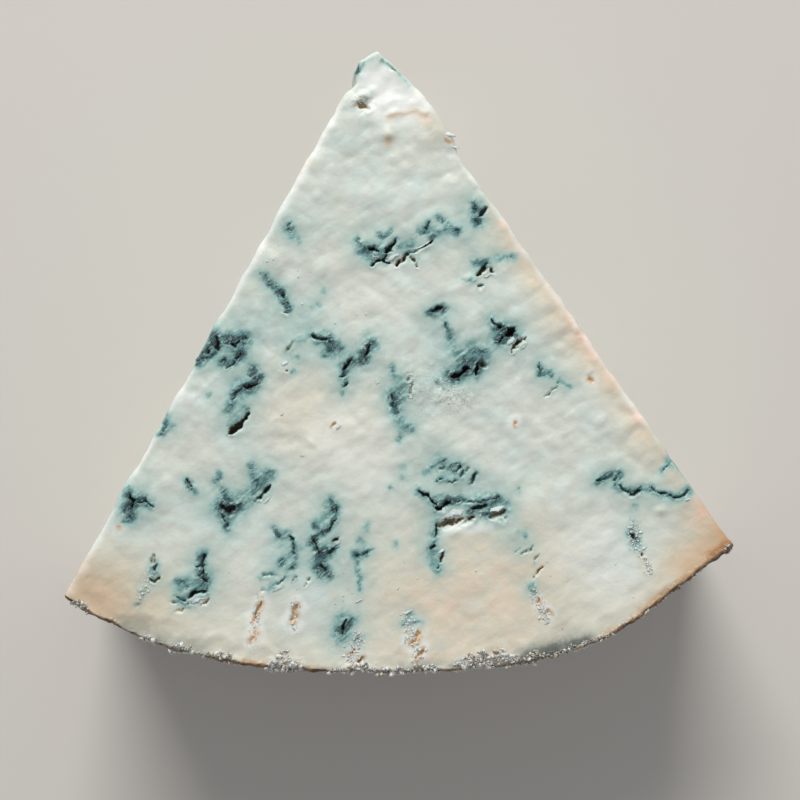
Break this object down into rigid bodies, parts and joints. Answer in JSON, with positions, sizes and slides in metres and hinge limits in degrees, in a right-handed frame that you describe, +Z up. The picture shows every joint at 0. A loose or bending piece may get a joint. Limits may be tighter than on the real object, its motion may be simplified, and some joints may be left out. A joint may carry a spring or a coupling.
{
  "type": "smoked stilton",
  "caption": "Wedge cut from a disc of smoked blue cheese, with a broken tip, veined and cracked cut faces and a crusty curved rind, lying flat on one cut face.",
  "frame": {"origin": "middle of the box round the wedge, on the flat cut face that it rests on", "axes": "+X across the wedge along the chord of its rind, +Y from the rind towards the broken tip, +Z up through the slice's thickness"},
  "size_m": [0.1048, 0.0978, 0.0459],
  "materials": {
    "cheese": "moist ivory paste with blue-green veins and a dull brown rind"
  },
  "bodies": {
    "root": {"stilton_wedge": "cheese"}
  },
  "joints": []
}
